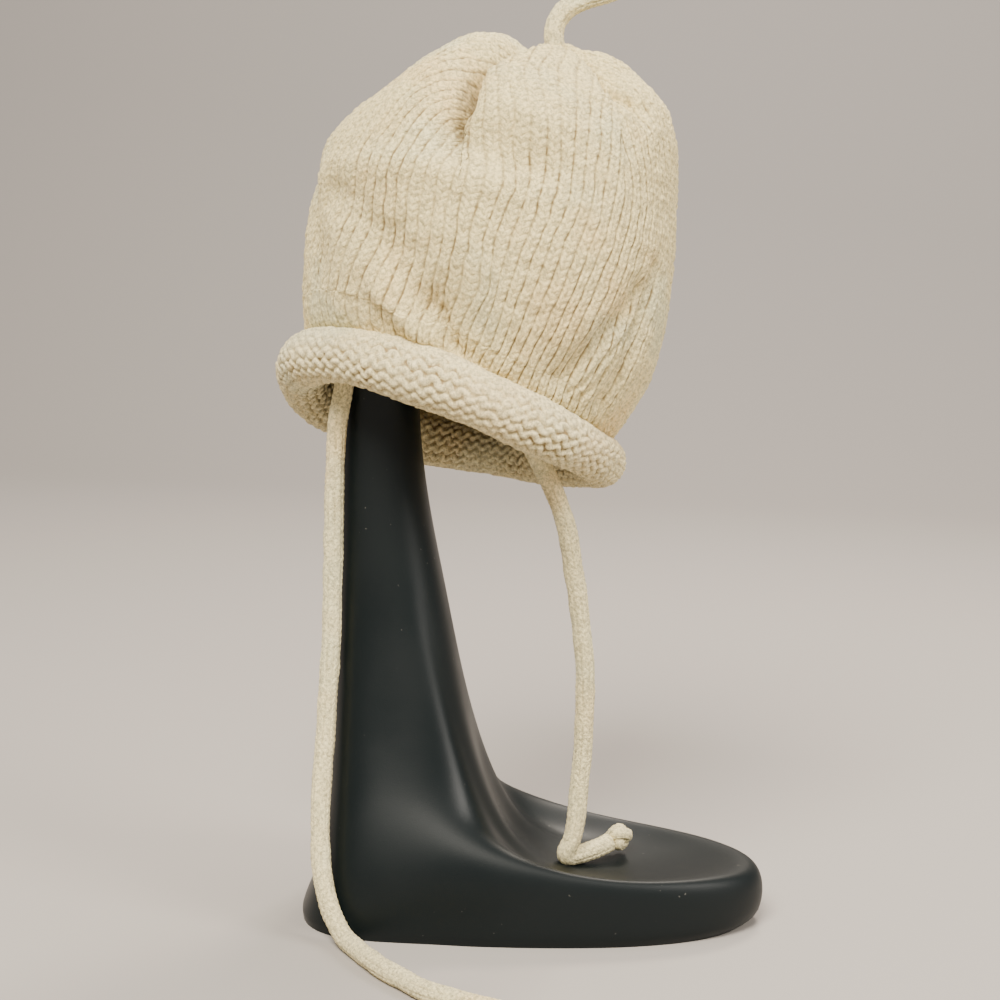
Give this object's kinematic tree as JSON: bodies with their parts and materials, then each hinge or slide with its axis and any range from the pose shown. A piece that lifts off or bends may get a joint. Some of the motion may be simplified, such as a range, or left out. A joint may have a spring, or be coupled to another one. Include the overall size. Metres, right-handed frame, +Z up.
{
  "type": "baby knit cap on display stand",
  "caption": "Cream knitted baby cap with a rolled brim, gathered crown, topknot and tie cords, resting on a plain black moulded display stand.",
  "frame": {"origin": "on the floor, under the middle of the box that holds the stand and the cap without its ties", "axes": "+Z up; +X along the foot from its heel to its toe, to the right as seen from the cap's near side; -Y towards that near side"},
  "size_m": [0.2092, 0.2221, 0.3862],
  "materials": {
    "knit": "fuzzy knitted wool, cream",
    "black_plastic": "satin"
  },
  "bodies": {
    "root": {"knitted_shell": "knit", "rolled_brim": "knit", "topknot_cord": "knit", "topknot_knot": "knit", "tie_left": "knit", "tie_left_knot": "knit", "tie_right": "knit", "tie_right_knot": "knit", "stand": "black_plastic"}
  },
  "joints": []
}
